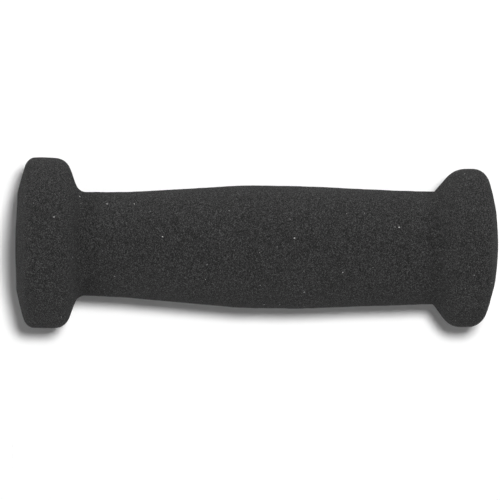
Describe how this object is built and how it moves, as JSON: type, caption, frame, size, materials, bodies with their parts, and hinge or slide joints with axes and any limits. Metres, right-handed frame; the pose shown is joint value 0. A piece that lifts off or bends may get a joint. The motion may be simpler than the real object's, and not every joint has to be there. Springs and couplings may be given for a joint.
{
  "type": "handlebar grip",
  "caption": "Foam grip for a handlebar: a sleeve with a flange at each end, a swell in the middle and a bore right through.",
  "frame": {"origin": "centre of the bore in the wide end's face, which the grip stands on", "axes": "+Z along the bore, from the wide end to the narrow end; X and Y are alike"},
  "size_m": [0.0462, 0.0462, 0.13],
  "materials": {
    "foam": "matte, fine open-cut cells of ground closed-cell foam"
  },
  "bodies": {
    "root": {"foam_grip": "foam"}
  },
  "joints": []
}
